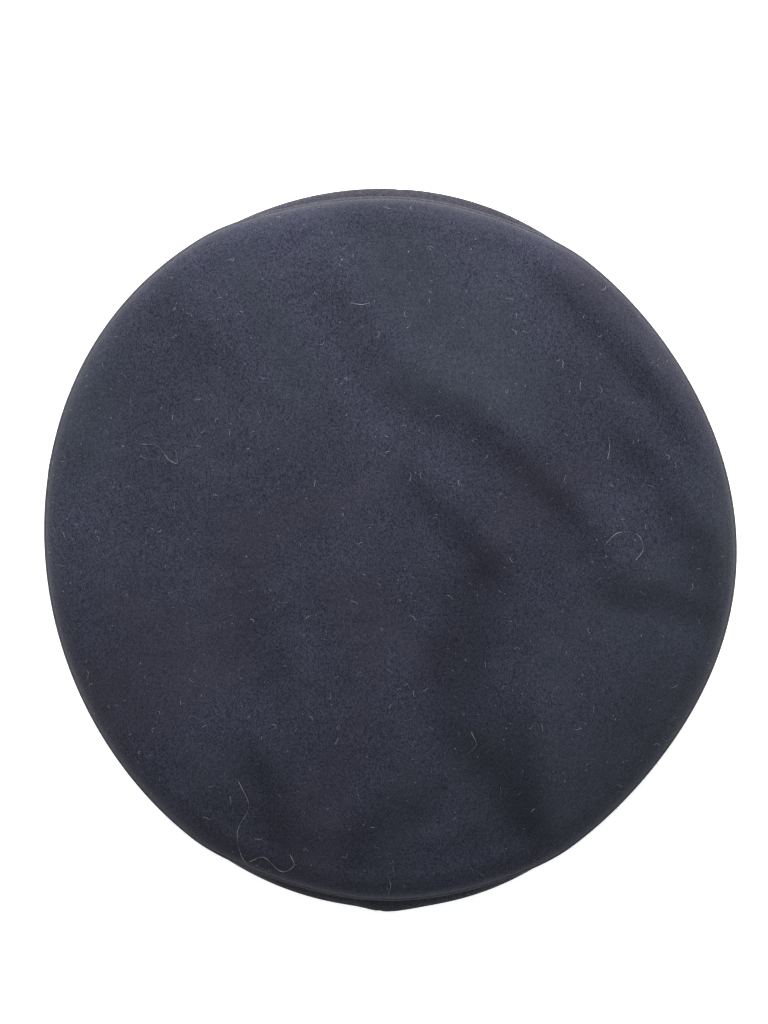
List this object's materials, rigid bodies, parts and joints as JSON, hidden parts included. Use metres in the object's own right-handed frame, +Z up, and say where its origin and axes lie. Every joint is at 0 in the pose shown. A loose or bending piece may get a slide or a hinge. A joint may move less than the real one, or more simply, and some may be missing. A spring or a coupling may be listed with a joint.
{
  "type": "beret",
  "caption": "Sewn wool beret lying flat: a round crown tip over two side panels, lined, with a ribbon-bound head opening and a leather sweatband.",
  "frame": {"origin": "on the surface that the beret lies on, under the middle of its outline", "axes": "+Z up out of the crown tip, +Y towards the back of the head, +X towards the wearer's left"},
  "size_m": [0.2796, 0.2904, 0.037],
  "materials": {
    "felt": "milled wool cloth with a short nap, dark navy",
    "lining": "dark navy satin lining, soft sheen",
    "binding": "near-black ribbed ribbon",
    "sweatband": "near-black grained leather",
    "thread": "dark navy sewing thread",
    "label": "blank off-white woven label"
  },
  "bodies": {
    "headband": {"edge_binding": "binding", "sweatband": "sweatband", "sweatband_tab": "sweatband", "side_panel_left": "felt", "side_panel_right": "felt", "lining_side_left": "lining", "lining_side_right": "lining", "binding_thread": "thread", "sweatband_thread": "thread", "front_seam_thread": "thread", "back_seam_thread": "thread", "front_lining_thread": "thread", "back_lining_thread": "thread"},
    "crown": {"crown_tip": "felt", "lining_tip": "lining", "label": "label", "label_thread": "thread", "tip_seam_thread": "thread", "lining_seam_thread": "thread"}
  },
  "joints": [
    {"name": "crown_tilt", "type": "hinge", "parent": "headband", "child": "crown", "pos_m": [-0.104, 0, 0.009], "axis": [0, -1, 0], "range_deg": [0, 5], "deforming": ["side_panel_left", "side_panel_right", "lining_side_left", "lining_side_right", "front_seam_thread", "back_seam_thread", "front_lining_thread", "back_lining_thread"]}
  ]
}
